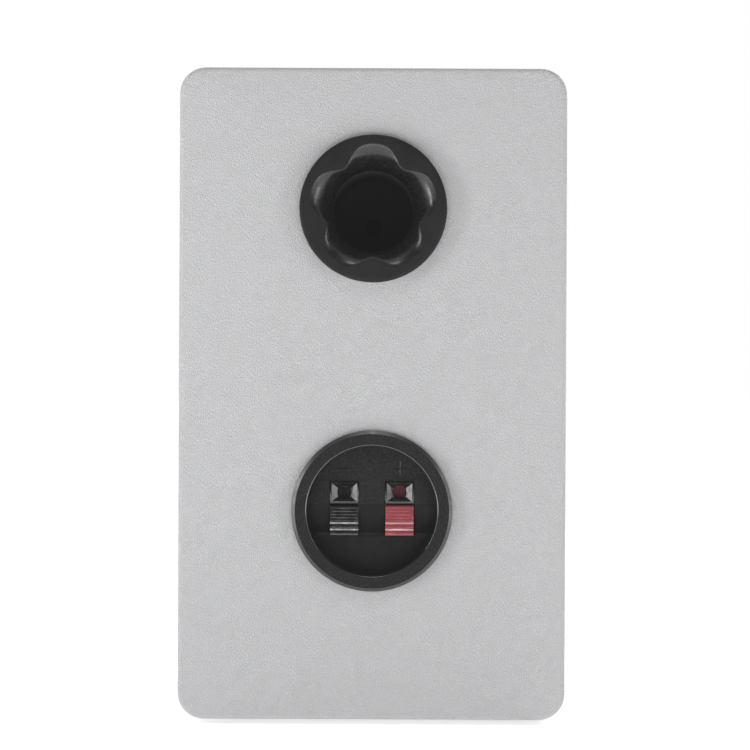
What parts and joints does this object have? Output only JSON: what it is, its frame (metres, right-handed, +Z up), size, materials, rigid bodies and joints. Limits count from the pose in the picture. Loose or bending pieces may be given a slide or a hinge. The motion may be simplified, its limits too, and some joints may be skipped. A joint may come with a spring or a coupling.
{
  "type": "bookshelf speaker",
  "caption": "Compact two-way bookshelf speaker in white vinyl, with a rear port, a round recessed spring-clip terminal cup, a coned woofer and a dome tweeter.",
  "frame": {"origin": "centre of the footprint, on the surface that the feet stand on", "axes": "+Z up; the drivers face -Y; the port and the terminals face +Y; +X is to the right seen from the front"},
  "size_m": [0.14, 0.1714, 0.2373],
  "materials": {
    "white_vinyl": "light grey-white vinyl film with a fine pebbled leather grain",
    "mdf": "bare fibreboard, sawn edges",
    "foot_rubber": "matt soft rubber",
    "satin_black_plastic": "satin moulded plastic with a glossy flare",
    "port_tube_plastic": "smooth extruded tube",
    "spark_black_plastic": "moulded plastic with a fine spark texture",
    "foam_gasket": "closed-cell foam",
    "gloss_black_plastic": "polished moulded plastic",
    "black_lever_plastic": "polished, ribbed",
    "red_lever_plastic": "translucent-looking polished red, ribbed",
    "spring_steel": "bright rolled strip",
    "brass_contact": "stamped strip",
    "basket_steel": "black powder coat",
    "trim_rubber": "matt rubber",
    "zinc_steel": "turned steel, zinc plated",
    "ferrite": "fired ferrite, matt",
    "cone_paper": "coated black paper pulp",
    "surround_rubber": "smooth butyl rubber",
    "dust_cap_paper": "coated pressed paper",
    "copper_coil": null,
    "spider_cloth": "resin-dipped cotton",
    "terminal_board": "pressed phenolic board",
    "tinsel_braid": "tinned copper braid",
    "faceplate_plastic": "fine-textured moulded plastic",
    "silk_dome": "doped silk",
    "circuit_board": "green solder mask",
    "inductor_winding": "enamelled copper wire",
    "capacitor_film": "wrapped polyester film",
    "cement": "cast cement",
    "cable_jacket": "red and black twin lead",
    "wadding": "polyester wadding",
    "black_screw": "blackened steel"
  },
  "bodies": {
    "cabinet": {"front_baffle": "mdf", "rear_panel": "mdf", "left_side_panel": "mdf", "right_side_panel": "mdf", "top_panel": "mdf", "bottom_panel": "mdf", "side_vinyl_wrap": "white_vinyl", "front_vinyl_skin": "white_vinyl", "rear_vinyl_skin": "white_vinyl", "foot_front_left": "foot_rubber", "foot_front_right": "foot_rubber", "foot_rear_left": "foot_rubber", "foot_rear_right": "foot_rubber", "port_flange": "satin_black_plastic", "port_tube": "port_tube_plastic", "terminal_cup": "spark_black_plastic", "terminal_gasket": "foam_gasket", "wire_guide_negative": "gloss_black_plastic", "wire_guide_positive": "gloss_black_plastic", "lever_spring_negative": "spring_steel", "lever_spring_positive": "spring_steel", "contact_strip_negative": "brass_contact", "contact_strip_positive": "brass_contact", "woofer_basket": "basket_steel", "woofer_trim_ring": "trim_rubber", "woofer_top_plate": "zinc_steel", "woofer_magnet": "ferrite", "woofer_yoke": "zinc_steel", "woofer_surround": "surround_rubber", "woofer_spider": "spider_cloth", "woofer_terminal_strip": "terminal_board", "woofer_tinsel_lead_a": "tinsel_braid", "woofer_tinsel_lead_b": "tinsel_braid", "tweeter_faceplate": "faceplate_plastic", "tweeter_suspension": "silk_dome", "tweeter_top_plate": "zinc_steel", "tweeter_magnet": "ferrite", "tweeter_yoke": "zinc_steel", "crossover_board": "circuit_board", "crossover_inductor": "inductor_winding", "crossover_capacitor": "capacitor_film", "crossover_resistor": "cement", "input_cable": "cable_jacket", "woofer_cable": "cable_jacket", "tweeter_cable": "cable_jacket", "damping_pad": "wadding", "woofer_screw_1": "black_screw", "woofer_screw_2": "black_screw", "woofer_screw_3": "black_screw", "woofer_screw_4": "black_screw", "tweeter_screw_1": "black_screw", "tweeter_screw_2": "black_screw", "tweeter_screw_3": "black_screw"},
    "woofer_diaphragm": {"woofer_cone": "cone_paper", "woofer_dust_cap": "dust_cap_paper", "woofer_voice_coil": "copper_coil"},
    "tweeter_diaphragm": {"tweeter_dome": "silk_dome", "tweeter_voice_coil": "copper_coil"},
    "lever_negative": {"lever_negative": "black_lever_plastic"},
    "lever_positive": {"lever_positive": "red_lever_plastic"}
  },
  "joints": [
    {"name": "lever_negative_press", "type": "hinge", "parent": "cabinet", "child": "lever_negative", "pos_m": [0.01, 0.0757, 0.0709], "axis": [1, 0, 0], "range_deg": [0, 10], "stiffness_Nm_per_rad": 0.14, "springref_deg": -2.86, "deforming": ["lever_spring_negative"]},
    {"name": "lever_positive_press", "type": "hinge", "parent": "cabinet", "child": "lever_positive", "pos_m": [-0.01, 0.0757, 0.0709], "axis": [1, 0, 0], "range_deg": [0, 10], "stiffness_Nm_per_rad": 0.14, "springref_deg": -2.86, "deforming": ["lever_spring_positive"]},
    {"name": "woofer_cone_travel", "type": "slide", "parent": "cabinet", "child": "woofer_diaphragm", "axis": [0, -1, 0], "range_m": [-0.004, 0.004], "stiffness_N_per_m": 1200, "deforming": ["woofer_surround", "woofer_spider", "woofer_tinsel_lead_a", "woofer_tinsel_lead_b"]},
    {"name": "tweeter_dome_travel", "type": "slide", "parent": "cabinet", "child": "tweeter_diaphragm", "axis": [0, -1, 0], "range_m": [-0.0003, 0.0003], "stiffness_N_per_m": 200, "deforming": ["tweeter_suspension"]}
  ]
}
